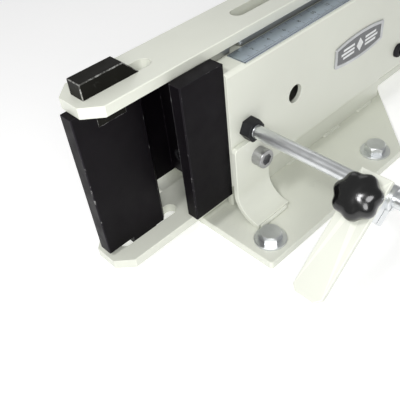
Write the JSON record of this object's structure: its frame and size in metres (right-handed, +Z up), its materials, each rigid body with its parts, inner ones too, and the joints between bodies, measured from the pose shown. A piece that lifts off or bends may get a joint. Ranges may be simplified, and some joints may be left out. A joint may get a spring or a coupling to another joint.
{
  "type": "sheet metal brake",
  "caption": "Bench press brake for flat bar: a boxed ram body with a U-shaped die, a sliding yoke with a drop-in punch, and an adjustable back stop on a side rod.",
  "frame": {"origin": "centre of the four bench bolts, on the underside of the base plate", "axes": "+X along the press from the punch end to the rear crosshead, +Y to the pump side (the back-stop rod stands out toward -Y), +Z up"},
  "size_m": [0.6035, 0.327, 0.3296],
  "materials": {
    "paint": "smooth off-white enamel",
    "zinc": "bright zinc plate",
    "black_steel": "black oxide, worn at the edges",
    "screw_steel": "plain alloy steel",
    "black_hardware": "black oxide",
    "ruler_steel": "etched steel rule",
    "badge_print": "printed plate",
    "knob_plastic": "moulded phenolic",
    "machined_steel": "machined",
    "ram_chrome": "ground and plated",
    "wiper_rubber": "moulded",
    "pad_steel": "plain steel",
    "grip_rubber": "moulded grip",
    "pump_paint": "smooth off-white enamel"
  },
  "bodies": {
    "frame": {"base_plate": "paint", "bench_bolts": "zinc", "bench_washers": "zinc", "press_body": "paint", "front_plate": "machined_steel", "rear_plate": "paint", "ram_wiper": "wiper_rubber", "cylinder_block": "machined_steel", "ear_bracket_near": "paint", "ear_bracket_far": "paint", "side_rails": "paint", "guide_blocks": "paint", "female_die": "black_steel", "die_screws": "black_hardware", "cap_screws": "screw_steel", "cylinder_screws": "black_hardware", "travel_scale": "ruler_steel", "badge": "badge_print", "pump_block": "pump_paint", "pump_screws": "black_hardware", "filler_plug": "screw_steel", "lever_pin": "screw_steel"},
    "yoke": {"yoke_top_plate": "paint", "yoke_bottom_plate": "paint", "crosshead": "paint", "crosshead_screws": "black_hardware", "slide_pads": "pad_steel", "punch_bar": "black_steel", "ram": "ram_chrome"},
    "key": {"punch_key": "black_steel"},
    "rod": {"stop_rod": "zinc", "jam_nut": "black_hardware"},
    "stop": {"stop_clamp": "zinc", "stop_arm": "paint"},
    "knob": {"clamp_knob": "knob_plastic", "knob_screw": "zinc"},
    "lever": {"pump_lever": "pump_paint", "pump_handle": "zinc", "handle_grip": "grip_rubber"},
    "plunger": {"plunger": "ram_chrome"},
    "valve": {"release_knob": "black_hardware"}
  },
  "joints": [
    {"name": "yoke_slide", "type": "slide", "parent": "frame", "child": "yoke", "axis": [1, 0, 0], "range_m": [-0.014, 0.036]},
    {"name": "key_lift", "type": "slide", "parent": "yoke", "child": "key", "axis": [0, 0, 1], "range_m": [0, 0.06]},
    {"name": "rod_turn", "type": "hinge", "parent": "frame", "child": "rod", "pos_m": [-0.058, 0, 0.098], "axis": [0, 1, 0], "range_deg": [-10, 110]},
    {"name": "stop_slide", "type": "slide", "parent": "rod", "child": "stop", "axis": [0, 1, 0], "range_m": [-0.008, 0.095]},
    {"name": "knob_turn", "type": "hinge", "parent": "stop", "child": "knob", "pos_m": [-0.06772, -0.1723, 0.09014], "axis": [-0.6292, 0, 0.7772], "range_deg": [-270, 90]},
    {"name": "lever_pivot", "type": "hinge", "parent": "frame", "child": "lever", "pos_m": [0.2, 0.065, 0.171], "axis": [0, 1, 0], "range_deg": [-16, 20]},
    {"name": "plunger_slide", "type": "slide", "parent": "frame", "child": "plunger", "axis": [0, 0, 1], "range_m": [-0.0085, 0.0105]},
    {"name": "valve_turn", "type": "hinge", "parent": "frame", "child": "valve", "pos_m": [0.215, 0.065, 0.094], "axis": [1, 0, 0], "range_deg": [-180, 0]}
  ],
  "couplings": [
    {"joint": "plunger_slide", "follows": "lever_pivot", "m_per_rad": 0.029}
  ]
}
